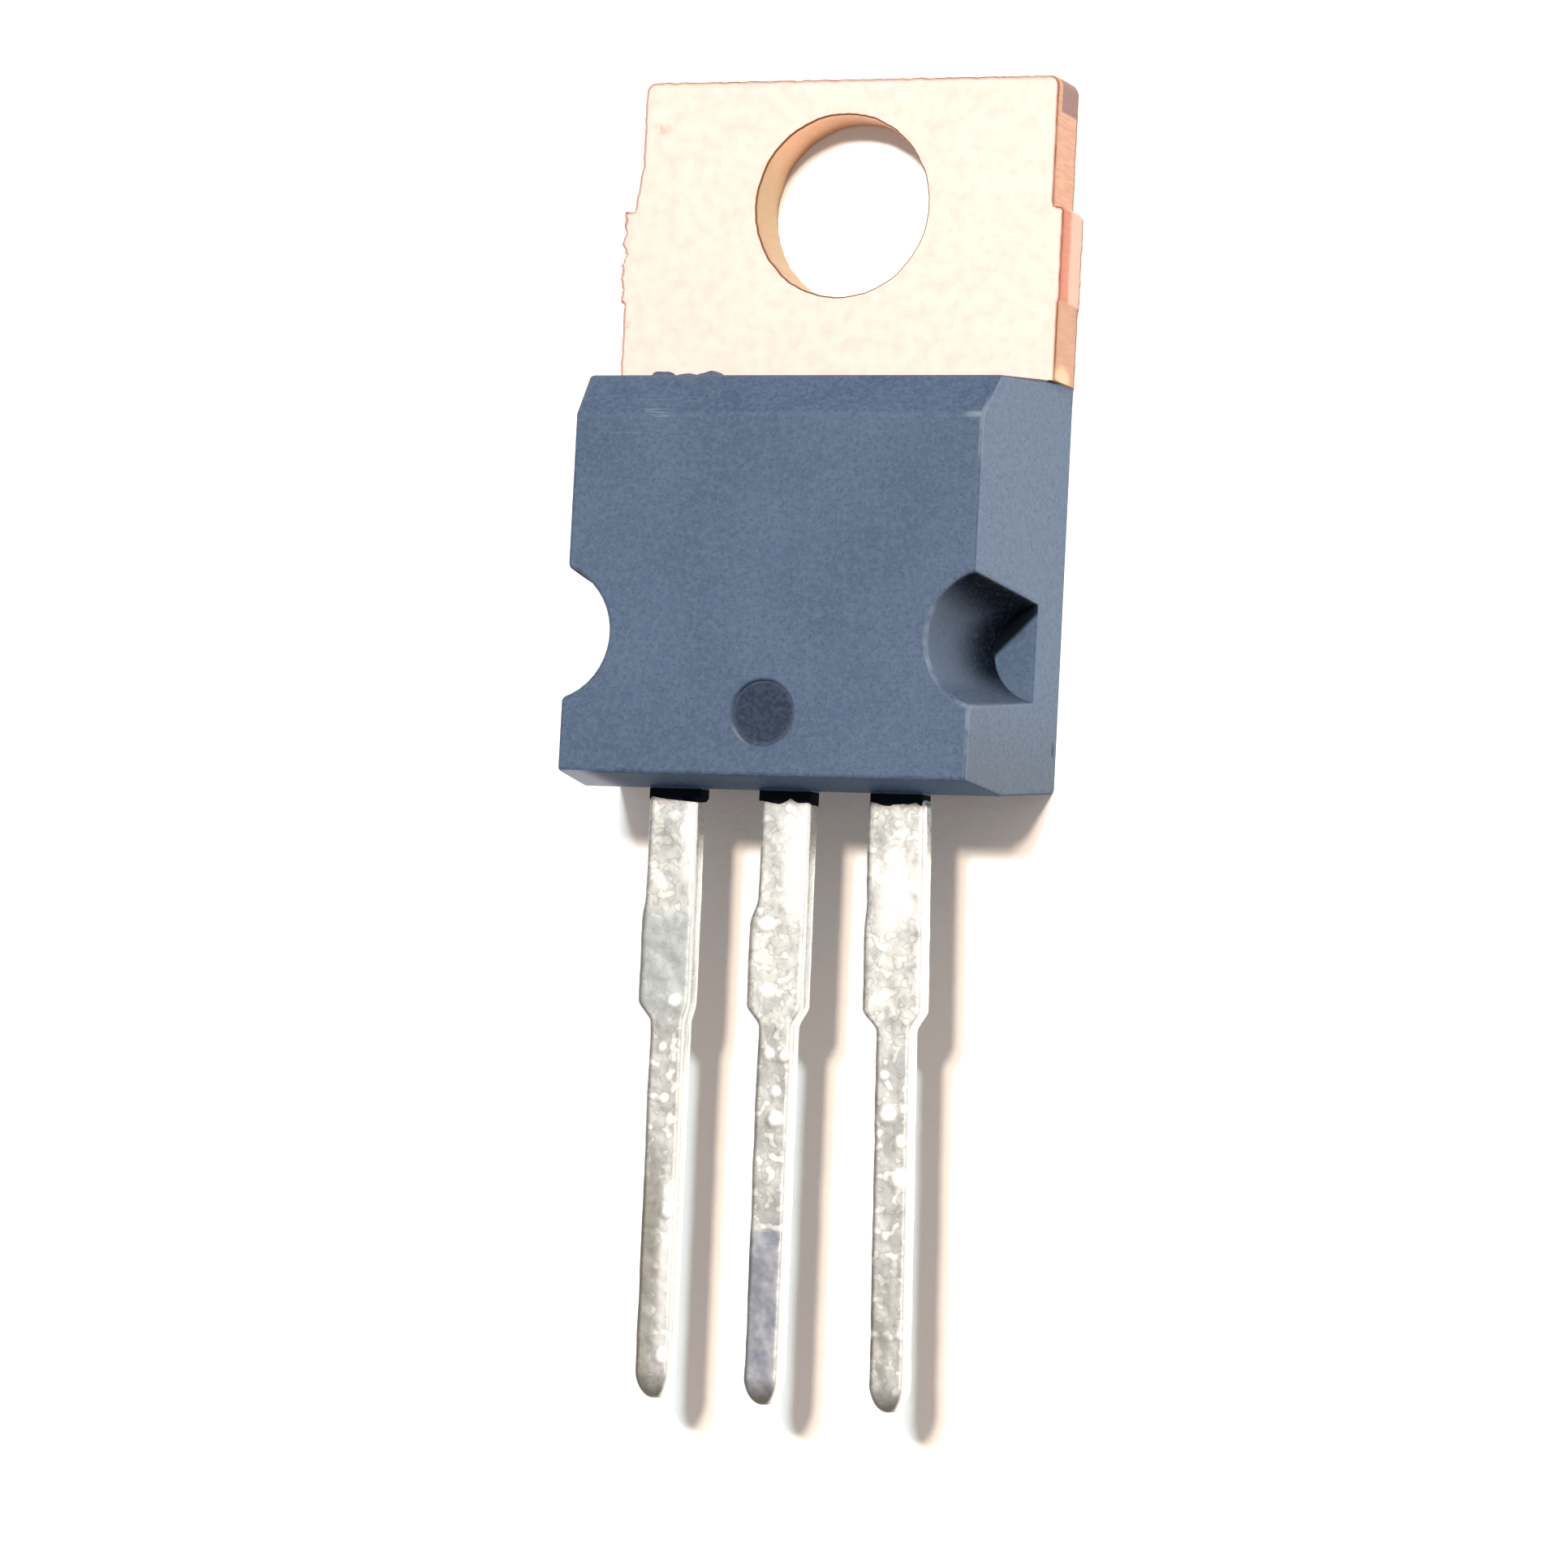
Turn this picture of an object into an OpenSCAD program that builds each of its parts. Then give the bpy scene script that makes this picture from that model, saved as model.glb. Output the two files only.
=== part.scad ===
// Power transistor in a flat tab package, lying on its metal back.
// The origin is the mounting hole's axis at the back face. X runs across the tab,
// Y runs from the leads to the tab's free end, and Z rises out of the front.

/* [Tab] */
// Thickness of the copper slab
tab_t = 1.27; // [1.15:0.01:1.4]
// Diameter of the mounting hole
hole_d = 3.96; // [3.5:0.02:4.1]
// Hole centre to the tab's free end
hole_to_end = 2.82; // [2.5:0.02:3.1]
// Hole centre to the moulded body
hole_to_body = 3.82; // [3.4:0.02:4.2]
// Width of the tab beside the body
tab_w = 10.12; // [9.9:0.02:10.3]
// Width of the tab's narrower free end
end_w = 9.64; // [9.4:0.02:9.8]
// How far the free end sits to the right of the tab's middle
end_shift = 0.05; // [0:0.01:0.1]
// Radius of the free end's corners
corner_r = 0.25; // [0.1:0.05:0.6]
// Hole centre to the step between the two widths
hole_to_step = 0.05; // [0:0.05:0.4]
// Length along the tab of each cut tie-bar stub
stub_l = 2.05; // [1.5:0.05:2.6]
// How far each stub stands out from the tab's side
stub_proud = 0.06; // [0.02:0.01:0.12]
// How far the free end's left edge flares out at the step
flare_w = 0.13; // [0.02:0.01:0.15]
// Length of that flare along the tab
flare_l = 1; // [0.4:0.1:1.4]

/* [Body] */
// Whole thickness from the back face to the front face
body_t = 4.46; // [4.2:0.02:4.7]
// Length of the body along the part, at its base
body_l = 9.07; // [8.7:0.01:9.4]
// How far each side of the front face sits in from the tab's side
front_inset = 0.41; // [0.3:0.01:0.5]
// Draft angle of the moulded faces
draft = 5.5; // [4:0.1:6]
// Drop of the bevel at the tab end of the front face
bevel_drop = 0.82; // [0.5:0.02:1.1]
// Run of that bevel along the part
bevel_run = 0.93; // [0.6:0.01:1.2]
// How far each side notch's axis lies outside the tab's side
notch_out = 0.04; // [0.02:0.01:0.1]
// Tab end of the body to the notches' axes
notch_from_end = 5.9; // [5.5:0.05:6.2]
// Radius of each notch at the front face
notch_front_r = 1.48; // [1.4:0.02:1.6]
// Radius of each notch at its floor
notch_floor_r = 1.06; // [0.9:0.02:1.2]
// Diameter of the round ejector mark in the front face
mark_d = 1.37; // [1.1:0.01:1.6]
// Depth of the ejector mark
mark_depth = 0.09; // [0.05:0.01:0.2]
// Ejector mark's centre to the front face's lead end
mark_from_end = 1.35; // [1:0.05:1.8]

/* [Leads] */
// Spacing of the three leads
pitch = 2.54; // [2.4:0.01:2.7]
// Thickness of a lead
lead_t = 0.5; // [0.4:0.01:0.6]
// Height of the leads' middle plane above the back face
lead_z = 2.62; // [2.4:0.01:2.75]
// Length of each lead outside the body
lead_l = 13.1; // [12.5:0.1:14]
// Width of the wide part beside the body
wide_w = 1.12; // [0.95:0.01:1.3]
// Length of the wide part outside the body
wide_l = 4.7; // [4:0.1:5.4]
// Length of the sloping shoulders
shoulder_l = 0.32; // [0.2:0.02:0.5]
// Width of the narrow part
narrow_w = 0.72; // [0.64:0.01:0.85]
// Corner radius of the lead tips
tip_r = 0.3; // [0.1:0.02:0.3]
// Angle by which the left-hand lead leans to the right
left_lean = 0.5; // [0:0.1:1.5]
// Angle by which the middle lead leans to the right
middle_lean = 0.6; // [0:0.1:1.5]
// Angle by which the right-hand lead leans to the right
right_lean = 1.8; // [0:0.1:2.2]

/* [Inside the body] */
// How far each edge of the slab inside the body sits in from the tab's side
pad_inset = 1.36; // [1.26:0.02:1.7]
// How far the slab's edges are undercut to hold the plastic
lock_in = 0.3; // [0.15:0.05:0.4]
// Height of that undercut
lock_h = 0.5; // [0.3:0.05:0.7]
// Inner end of the slab to the lead end of the body
pad_to_exit = 2.3; // [2.2:0.05:2.5]
// Straight length of the middle lead before it bends up from the slab
foot_l = 0.2; // [0.1:0.05:0.3]
// Bend angle of the middle lead
bend = 52; // [45:1:60]
// Width of the bonding flags of the two outer leads
flag_w = 1.9; // [1.6:0.1:2]
// Length of the bonding flags
flag_l = 1.15; // [0.9:0.05:1.2]
// Plastic between a flag and the lead end of the body
flag_cover = 0.6; // [0.5:0.05:0.7]
// Side length of the chip
chip_w = 2.7; // [2.2:0.1:3]
// Thickness of the chip
chip_t = 0.26; // [0.2:0.02:0.36]
// Thickness of the solder under the chip
solder_t = 0.06; // [0.03:0.01:0.1]
// How far the solder shows around the chip
solder_rim = 0.15; // [0.05:0.05:0.3]
// Chip's edge to the inner end of the slab
chip_to_pad_end = 1; // [0.8:0.1:1.4]
// Diameter of the base bond wire
base_wire_d = 0.25; // [0.2:0.01:0.3]
// Diameter of the emitter bond wire
emitter_wire_d = 0.38; // [0.3:0.01:0.42]
// Chip's edge to the middle of each wire's foot
foot_inset = 0.5; // [0.45:0.05:0.6]
// Angle between a wire's ends and the straight line through its feet
loop = 46; // [40:1:50]
// Half length of a wire's flattened foot, in wire diameters
foot_reach = 1; // [0.8:0.1:1.2]
// Half width of a wire's flattened foot, in wire diameters
foot_spread = 0.7; // [0.6:0.05:0.8]
// Height of a wire's flattened foot, in wire diameters
foot_squash = 0.6; // [0.5:0.05:0.8]

/* [Hidden] */
$fn = 64;
over = 1;
y_end = hole_to_end;
y_step = -hole_to_step;
y_joint = -hole_to_body;
y_exit = y_joint - body_l;
y_pad = y_exit + pad_to_exit;
lead_lo = lead_z - lead_t / 2;
lead_hi = lead_z + lead_t / 2;
slope = tan(draft);
bevel_z = body_t - bevel_drop;
y_bevel = y_joint - (bevel_z - tab_t) * slope;
y_front_lead = y_exit + (body_t - lead_z) * slope;
front_w = tab_w - 2 * front_inset;
back_half = front_w / 2 + body_t * slope;
chip_z = tab_t + solder_t;
y_chip = y_pad + chip_to_pad_end + chip_w / 2;
flag_mid = flag_cover + flag_l / 2;
foot_across = chip_w / 2 - foot_inset;
bend_back = lead_t * tan(bend / 2);
bend_run = (lead_hi - tab_t) / tan(bend);

// A box between two heights, with its sides given by its least and greatest X and Y
module block(x, y, z) {
    translate([x[0], y[0], z[0]])
        cube([x[1] - x[0], y[1] - y[0], z[1] - z[0]]);
}

// A flat outline of Y and Z, drawn out along X and centred on the part
module along_x(points, width) {
    translate([-width / 2, 0, 0])
        rotate([90, 0, 90])
            linear_extrude(width)
                polygon(points);
}

// A flat outline of X and Z, drawn out along Y between two values
module along_y(points, y) {
    translate([0, y[1], 0])
        rotate([90, 0, 0])
            linear_extrude(y[1] - y[0])
                polygon(points);
}

// The lead outside the body and just inside it, with its root at the origin and its tip towards -Y
module lead_outline(inside) {
    y_narrow = -wide_l - shoulder_l;
    wide = wide_w / 2;
    narrow = narrow_w / 2;
    polygon([
        [-wide, inside],
        [wide, inside],
        [wide, -wide_l],
        [narrow, y_narrow],
        [narrow, tip_r - lead_l],
        [narrow - tip_r, -lead_l],
        [tip_r - narrow, -lead_l],
        [-narrow, tip_r - lead_l],
        [-narrow, y_narrow],
        [-wide, -wide_l]
    ]);
    for (side = [-1, 1])
        translate([side * (narrow - tip_r), tip_r - lead_l])
            circle(tip_r);
}

// One of the two outer leads, set across the part by the pitch and turned about its root
module outer_lead(side, lean) {
    translate([side * pitch, y_exit, lead_lo])
        rotate([0, 0, lean])
            union() {
                linear_extrude(lead_t)
                    lead_outline(flag_mid);
                block([-flag_w / 2, flag_w / 2], [flag_cover, flag_cover + flag_l], [0, lead_t]);
            }
}

module tab_outline() {
    translate([-tab_w / 2, y_joint])
        square([tab_w, y_step - y_joint]);
    translate([-tab_w / 2 - stub_proud, y_step - stub_l])
        square([tab_w + 2 * stub_proud, stub_l]);
    end_left = end_shift - end_w / 2;
    translate([end_left, y_step])
        square([end_w, y_end - corner_r - y_step]);
    translate([end_left + corner_r, y_step])
        square([end_w - 2 * corner_r, y_end - y_step]);
    for (x = [corner_r, end_w - corner_r])
        translate([end_left + x, y_end - corner_r])
            circle(corner_r);
    polygon([
        [end_left - flare_w, y_step],
        [end_left, y_step],
        [end_left, y_step + flare_l]
    ]);
}

// The slab inside the body, undercut along both edges
module pad() {
    top = tab_w / 2 - pad_inset;
    bottom = top - lock_in;
    along_y([
        [-bottom, 0],
        [bottom, 0],
        [top, lock_h],
        [top, tab_t],
        [-top, tab_t],
        [-top, lock_h]
    ], [y_pad, y_joint]);
}

// The middle lead: its bend up from inside the slab to the plane of the other leads, and its length
// outside the body, turned about its root
module collector_lead() {
    y_buried = pad_to_exit + wide_w;
    y_low = pad_to_exit - foot_l;
    y_high = y_low - bend_run;
    translate([0, y_exit, 0])
        rotate([0, 0, middle_lean]) {
            along_x([
                [y_buried, tab_t - lead_t],
                [y_low, tab_t - lead_t],
                [y_high, lead_lo],
                [0, lead_lo],
                [0, lead_hi],
                [y_high + bend_back, lead_hi],
                [y_low + bend_back, tab_t],
                [y_buried, tab_t]
            ], wide_w);
            translate([0, 0, lead_lo])
                linear_extrude(lead_t)
                    lead_outline(0);
        }
}

// Tab, chip pad and middle lead, stamped from one strip of copper
module copper_frame() {
    color([0.86, 0.62, 0.48])
        union() {
            difference() {
                linear_extrude(tab_t)
                    tab_outline();
                translate([0, 0, -over])
                    cylinder(d = hole_d, h = tab_t + 2 * over);
            }
            pad();
            collector_lead();
        }
}

module base_lead() {
    color([0.76, 0.76, 0.74])
        outer_lead(-1, left_lean);
}

module emitter_lead() {
    color([0.74, 0.75, 0.74])
        outer_lead(1, right_lean);
}

module chip_solder() {
    half = chip_w / 2 + solder_rim;
    color([0.58, 0.58, 0.6])
        block([-half, half], [y_chip - half, y_chip + half], [tab_t, chip_z]);
}

module chip() {
    half = chip_w / 2;
    color([0.3, 0.31, 0.36])
        block([-half, half], [y_chip - half, y_chip + half], [chip_z, chip_z + chip_t]);
}

// A bond wire: an arc between two flattened feet, from the chip's top to a flag's top
module bond_wire(from, to, wire_d) {
    wire_r = wire_d / 2;
    step = [to[0] - from[0], to[1] - from[1]];
    reach = norm(step);
    rise = lead_hi - chip_z - chip_t;
    tilt = atan2(rise, reach);
    arc_r = norm([reach, rise]) / (2 * sin(loop));
    drop = arc_r * cos(loop);
    translate([from[0], from[1], chip_z + chip_t])
        rotate([0, 0, atan2(step[1], step[0])]) {
            translate([reach / 2 + drop * sin(tilt), 0, rise / 2 - drop * cos(tilt) + wire_r])
                rotate([90, 0, 0])
                    rotate([0, 0, 90 + tilt - loop])
                        rotate_extrude(angle = 2 * loop)
                            translate([arc_r, 0])
                                circle(wire_r);
            for (place = [[0, 0], [reach, rise]])
                translate([place[0], 0, place[1]])
                    scale(wire_d)
                        block([-foot_reach, foot_reach], [-foot_spread, foot_spread], [0, foot_squash]);
        }
}

module base_wire() {
    color([0.85, 0.86, 0.88])
        bond_wire([-foot_across, y_chip - foot_across], [-pitch, y_exit + flag_mid], base_wire_d);
}

module emitter_wire() {
    color([0.82, 0.83, 0.86])
        bond_wire([foot_across, y_chip - foot_across], [pitch, y_exit + flag_mid], emitter_wire_d);
}

// The block of the body before anything is cut from it: a side outline crossed with an end outline
module body_block() {
    intersection() {
        along_x([
            [y_joint, 0],
            [y_joint, tab_t],
            [y_bevel, bevel_z],
            [y_bevel - bevel_run, body_t],
            [y_front_lead, body_t],
            [y_exit, lead_z],
            [y_exit + lead_z * slope, 0]
        ], 2 * back_half);
        along_y([
            [-back_half, 0],
            [back_half, 0],
            [front_w / 2, body_t],
            [-front_w / 2, body_t]
        ], [y_exit, y_joint]);
    }
}

// A side notch: a cone that narrows from the front face down to a floor level with the slab's top
module notch(side) {
    deep = body_t - tab_t;
    widen = (notch_front_r - notch_floor_r) / deep;
    translate([side * (tab_w / 2 + notch_out), y_joint - notch_from_end, tab_t])
        cylinder(r1 = notch_floor_r, r2 = notch_front_r + widen * over, h = deep + over);
}

module moulded_body() {
    color([0.24, 0.27, 0.33])
        difference() {
            body_block();
            for (side = [-1, 1])
                notch(side);
            translate([0, y_front_lead + mark_from_end, body_t - mark_depth])
                cylinder(d = mark_d, h = mark_depth + over);
            copper_frame();
            base_lead();
            emitter_lead();
            chip_solder();
            chip();
            base_wire();
            emitter_wire();
        }
}

moulded_body();
copper_frame();
base_lead();
emitter_lead();
chip();
chip_solder();
base_wire();
emitter_wire();
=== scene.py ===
"""Looks of a power transistor in a flat tab package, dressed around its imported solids.

Shapes, places and sizes of grain are in millimetres, in the part's own frame."""

import math
from collections import namedtuple

import bmesh
import bpy
from mathutils import Matrix, Vector, noise


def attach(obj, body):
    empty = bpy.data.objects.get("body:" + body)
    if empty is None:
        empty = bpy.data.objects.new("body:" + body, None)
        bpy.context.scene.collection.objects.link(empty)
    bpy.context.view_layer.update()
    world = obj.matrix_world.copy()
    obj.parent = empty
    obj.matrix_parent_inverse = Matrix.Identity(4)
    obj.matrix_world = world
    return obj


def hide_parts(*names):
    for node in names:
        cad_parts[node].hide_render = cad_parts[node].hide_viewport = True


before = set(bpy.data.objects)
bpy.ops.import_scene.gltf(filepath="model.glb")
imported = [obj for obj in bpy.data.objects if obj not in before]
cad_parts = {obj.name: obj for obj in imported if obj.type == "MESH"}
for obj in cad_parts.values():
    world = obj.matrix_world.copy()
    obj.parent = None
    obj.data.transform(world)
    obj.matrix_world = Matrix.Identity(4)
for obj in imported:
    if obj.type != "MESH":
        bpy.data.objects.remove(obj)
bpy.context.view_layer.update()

MM = 0.001
X, Y, Z = range(3)
ORIGIN = (0, 0, 0)
EVEN = (1, 1, 1)

# Noise that roughens a surface: how deep it goes, how large its lumps are, and its seed
Lump = namedtuple("Lump", "depth size seed")

# Tab: its hole, and where its edges lie across and along the part
TAB_T = 1.27
HOLE_R = 1.98
TAB_END = 2.82
TAB_JOINT = -3.82
PLATE_LOW = -3.83
PLATE_LIFT = 0.02
TAB_RIGHT = 5.1
TAB_LEFT = -5.07
END_RIGHT = 4.89
END_LEFT = -4.79
STEP = -0.05
STEP_RISE = 0.02
STUB_RIGHT = 5.13
STUB_LEFT = -5.15
STUB_LOW = -2.1
STUB_RAMP = 0.06
STUB_CORNER = 0.08
STUB_TEAR = 0.03
CORNER_R = 0.25
CORNER_STEPS = 6
FLARE_W = 0.13
FLARE_TOP = 0.95
OUTLINE_STEP = 0.06
HOLE_WALL_POINTS = 240

# How rough each kind of stretch of the tab's outline is. The joint with the chip pad is neither rounded
# nor torn.
JOINT = 0.0
ROUNDED = 0.004
SHEARED = 0.006
STUB_TOP = 0.01
STUB_FOOT = 0.012
WAVY = 0.03
TORN = 0.13

# Up the tab's wall: each height, how far the wall is set in there, and how torn the sheared face is
TAB_WALL = (
    (0.0, 0.05, 0.0),
    (0.015, 0.015, 0.5),
    (0.06, 0.0, 1.0),
    (0.2, 0.0, 1.4),
    (0.4, 0.0, 1.2),
    (0.6, 0.004, 1.0),
    (0.8, 0.01, 0.6),
    (1.0, 0.012, 0.4),
    (1.15, 0.016, 0.4),
    (1.22, 0.035, 0.4),
    (1.255, 0.065, 0.3),
    (1.27, 0.11, 0.2),
)
# How much the outline's lumps change up the wall, the least share of them, and the hole's share of the inset
TEAR_RISE = 0.35
LEAST_RAGGED = 0.6
HOLE_INSET = 0.55
OUTLINE_LUMPS = (Lump(1.0, 0.22, 4), Lump(0.6, 0.09, 5))
WALL_PITS = (Lump(0.008, 0.14, 6),)
HOLE_WAVER = (Lump(0.014, 0.35, 7), Lump(0.012, 0.11, 9))
HOLE_PITS = (Lump(0.004, 0.12, 8),)

# Body
BODY_T = 4.46
BODY_EXIT = -12.89
MARK_PLACE = (0, -11.36, BODY_T)
MARK_R = 0.685
NOTCH_X = 5.1
NOTCH_Y = -9.72
NOTCH_FRONT_R = 1.48
NOTCH_FLOOR_R = 1.06
EDGE_ROUND = 0.1
MARK_ROUND = 0.08
ROUND_SEGMENTS = 3
SHARP_ANGLE = math.radians(12)
BODY_CREASE = 50
# Flakes of flash at the joint of body and tab: middle, half size and seed
FLASH = (
    ((-3.95, -3.8, TAB_T + 0.03), (0.36, 0.16, 0.06), 1.0),
    ((-3.4, -3.8, TAB_T + 0.02), (0.34, 0.11, 0.05), 2.0),
    ((-2.85, -3.8, TAB_T + 0.03), (0.34, 0.15, 0.06), 3.0),
)
FLASH_DETAIL = 4
FLASH_LUMPS = (Lump(0.3, 0.6, 0),)

# Leads
PITCH = 2.54
LEAD_Z = 2.62
LEAD_HALF_T = 0.25
LEAD_L = 13.1
LEAD_CUT = -12.5
LEAD_STEP = 0.045
LEAD_ROUND = 0.09
ROUND_LIMIT = 0.9
ROOT_HALF = 0.56
NARROW_HALF = 0.4
SHOULDER = (4.58, 5.08)
WETTING = (0.02, 0.3)
DAM_START = (2.3, 2.9)
TIP_L = 0.56
TIP_BLUNT = 1.7
TIP_TURNS = (66, 72, 78, 83, 87)
# What is left of a lead's width, thickness and lumps at the very tip
TIP_WIDTH = 0.1
TIP_THICKNESS = 0.35
TIP_LUMPS = 0.4
LEAD_LUMPS = (Lump(0.015, 0.8, 10), Lump(0.007, 0.34, 13), Lump(0.002, 0.14, 15))
# Points on a lead's section: steps round each corner, and across its top, left side, bottom and right side
SECTION_ROUND_STEPS = 4
SECTION_FLAT_STEPS = (16, 3, 6, 3)
# Each lead's root, its lean in degrees, the half width and middle of its solder-dipped wide part, how far the
# cut dam bar stands out on its left, and the middle of its narrow part
Lead = namedtuple("Lead", "root lean wide_half wide_middle dam narrow_middle")
LEADS = {
    "left": Lead(-PITCH, 0.5, 0.57, -0.03, 0.07, 0.03),
    "middle": Lead(0.0, 0.6, 0.565, 0.02, 0.17, -0.02),
    "right": Lead(PITCH, 1.8, 0.66, 0.0, 0.04, 0.02),
}
# Round beads of solder: lead, distance from the body, place across, size and height
BEADS = (
    ("left", 4.6, 0.2, 0.14, 0.01),
    ("left", 5.6, -0.09, 0.1, 0.012),
    ("left", 6.7, 0.0, 0.1, 0.012),
    ("left", 9.12, 0.2, 0.17, 0.03),
    ("left", 12.2, 0.2, 0.17, 0.02),
    ("middle", 2.9, -0.28, 0.17, 0.025),
    ("middle", 4.3, -0.2, 0.15, 0.012),
    ("middle", 5.65, -0.13, 0.13, 0.02),
    ("middle", 5.7, 0.23, 0.13, 0.02),
    ("middle", 6.44, 0.07, 0.12, 0.012),
    ("middle", 7.05, 0.07, 0.18, 0.03),
    ("right", 1.4, -0.1, 0.2, 0.012),
    ("right", 6.0, -0.2, 0.11, 0.015),
    ("right", 6.84, -0.12, 0.2, 0.03),
    ("right", 7.4, 0.2, 0.15, 0.02),
    ("right", 8.2, 0.2, 0.22, 0.02),
)
BEAD_FALL = 2
BEAD_POWER = 4

# Film of resin on the leads' roots, made near black as painted shade where the body's shadow falls: how far
# out its rings lie, its half sizes, and how ragged its end is
FILM_RINGS = (-0.1, 0.1, 0.18, 0.23, 0.25)
FILM_HALF_W = 0.61
FILM_HALF_T = 0.275
FILM_LUMPS = (Lump(0.65, 0.27, 20),)

# Where the moulding's outer edges lie: above the back, and near its front, sides, bevel, lead end, ejector
# mark and lead holes
ABOVE_BACK = 1.2
NEAR_FRONT = 4.3
NEAR_SIDE = 4.35
NEAR_BEVEL = -4.2
NEAR_EXIT = BODY_EXIT + 0.4
NEAR_MARK = MARK_R + 0.1
LEAD_HOLE_END = BODY_EXIT + 0.15
LEAD_HOLE_HALF = LEAD_HALF_T + 0.05

# Camera, from the fit to the photograph
CAMERA_PLACE = (47.15, -21.16, 123.33)
CAMERA_RIGHT = (0.9311, 0.0505, -0.3612)
CAMERA_UP = (-0.0235, 0.9966, 0.0787)
SENSOR_W = 36
LENS = 139.155
CLIP_START_M = 0.01
CLIP_END_M = 2

# Light: two lamps side by side, almost overhead, and an even room around them
Lamp = namedtuple("Lamp", "name energy colour direction")
LAMPS = (
    Lamp("cool_lamp", 2.1, (0.82, 0.98, 1.0), (0.0, 0.315, 1)),
    Lamp("warm_lamp", 2.7, (1.0, 0.8, 0.65), (0.1, 0.285, 1)),
)
LAMP_ANGLE = 0.09
ROOM_COLOUR = (1.0, 0.87, 0.81, 1)
ROOM_STRENGTH = 0.56

# Floor
FLOOR_HALF_M = 0.35
FLOOR_BELOW_M = 0.00001

# Soft patches on a finish: middle, reach, softness of the rim, and how the patch is drawn out along the axes
Spot = namedtuple("Spot", "middle reach soft stretch", defaults=(EVEN,))
MARK_FLOOR = Spot(MARK_PLACE, MARK_R + 0.01, 0.1)
# Edges abraded pale; the last patch is a painted highlight on the ejector mark's lower left rim
RUBBED_EDGES_AND_MARK_HIGHLIGHT = (
    Spot((4.62, -5.2, 4.4), 0.42, 0.3, (1, 1.6, 1)),
    Spot((4.62, -11.6, 4.4), 0.3, 0.25, (1, 2.4, 1)),
    Spot((3.65, -9.9, 4.4), 0.35, 0.25, (1, 2.4, 1)),
    Spot((-0.5, -11.8, 4.44), 0.22, 0.15),
)
SCRATCHED = (
    Spot((-3.1, -4.9, 4.4), 0.5, 0.4, (2, 1, 1)),
    Spot((3.9, -5.6, 4.46), 0.3, 0.25),
)
SIDE_STREAK = Spot((5.07, -11.7, 0.17), 0.12, 0.05, (1, 1.4, 0.45))
HOLE_WALL = Spot((0, 0, 0.6), HOLE_R + 0.06, 0.02, (1, 1, 9))
# Painted shade: the hole's rounded rim darkened, as its dark reflection
HOLE_LIP = Spot((0, 0, TAB_T), HOLE_R + 0.15, 0.02)
TAB_STAINS = (
    Spot((-4.75, 2.65, 1.27), 0.12, 0.08),
    Spot((-4.3, 1.75, 1.27), 0.1, 0.07, (2, 1, 1)),
    Spot((-4.95, -2.6, 1.27), 0.1, 0.07),
)
TAB_SMEAR = Spot((5.12, -3.72, 0.8), 0.22, 0.1, (1, 1, 2))
LEAD_GLARE = (
    Spot((0.28, -14.4, 2.87), 0.28, 0.22, (1, 4, 1)),
    Spot((2.62, -15.0, 2.87), 0.42, 0.25, (1, 2, 1)),
    Spot((-2.15, -14.1, 2.87), 0.14, 0.12, (1, 6, 1)),
    Spot((-2.2, -22.8, 2.87), 0.14, 0.08, (1, 14, 1)),
)

# Stretches of a finish between two places along the part and two across it, and how soft their ends are
Zone = namedtuple("Zone", "along along_soft across across_soft")
BEYOND_SIDE = 9
BEYOND_BODY = -9
BEYOND_TIPS = -27
STUB_FACE = Zone((STUB_LOW, STEP), 0.03, (4.9, BEYOND_SIDE), 0.05)
GREY_LEAD = Zone((-17.9, -15.6), 0.2, (-4, -1.8), 0.1)
# Painted reflection: where the middle lead's tip is made bluish
MIDDLE_TIP = Zone((BEYOND_TIPS, -22.3), 0.06, (-0.6, 0.42), 0.12)
# Painted shade on the left half of the left lead's lower end, as on a rounded surface turned from the light
LEFT_TIP = Zone((BEYOND_TIPS, -20.9), 0.8, (-3.4, -2.42), 0.1)
RIGHT_TIP = Zone((BEYOND_TIPS, -23.3), 0.7, (2.4, 2.95), 0.1)
# Painted shade at every tip, which rounds down away from the lamps
ALL_TIPS_Y = -25.7
NARROW_Y = -18.0

# Where other marks on the finishes begin and end, along one axis each
FACES_LEADS = (-0.85, -0.5)
# Painted light: where the far left of the lead end's face is made pale, as if lit
END_PAINTED_LIGHT_X = (-6, -4.0)
DULL_END_X = (-4.1, -3.5)
# Where the sides' painted sheen gives way to a darker grey towards the lead end
GREY_END_Y = (-12.9, -10.0)
STUB_LOWER_Z = (0.6, 0.85)
STUB_UPPER_Z = (0.68, 0.9)
# Where the painted warm brown of the hole's shaded upper wall lies
HOLE_TOP_Y = (0.4, 1.7)
DULL_CORNER_X = 4.6
DULL_CORNER_Y = (2.0, 2.06)
DULL_CORNER_Z = (0.98, 1.08)

# Side notches: how soft their rim is, where they begin above the back, and where painted shade darkens them:
# the wall sheltered from the lamps, the inner wall's foot, and the floor behind a slanting line, the edge of
# the lamps' shadow
NOTCH_RIM = 0.04
NOTCH_BOTTOM_Z = (1.2, 1.25)
NOTCH_SHELTER_Y = (-10.2, -8.9)
NOTCH_SHELTER_X = (3.5, 4.45)
NOTCH_FOOT_Y = (-11.0, -10.1)
NOTCH_FOOT_Z = (1.6, 3.9)
NOTCH_FLOOR_Z = (1.29, 1.33)
NOTCH_SLANT = (-13.92, -13.74)

# Colours
EPOXY_FACE = ((0.0215, 0.051, 0.109), (0.032, 0.066, 0.131))
# Painted sheen: the epoxy's sides paler than its front, as light falls on them
EPOXY_SIDE_SHEEN = (0.136, 0.21, 0.338)
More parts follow.
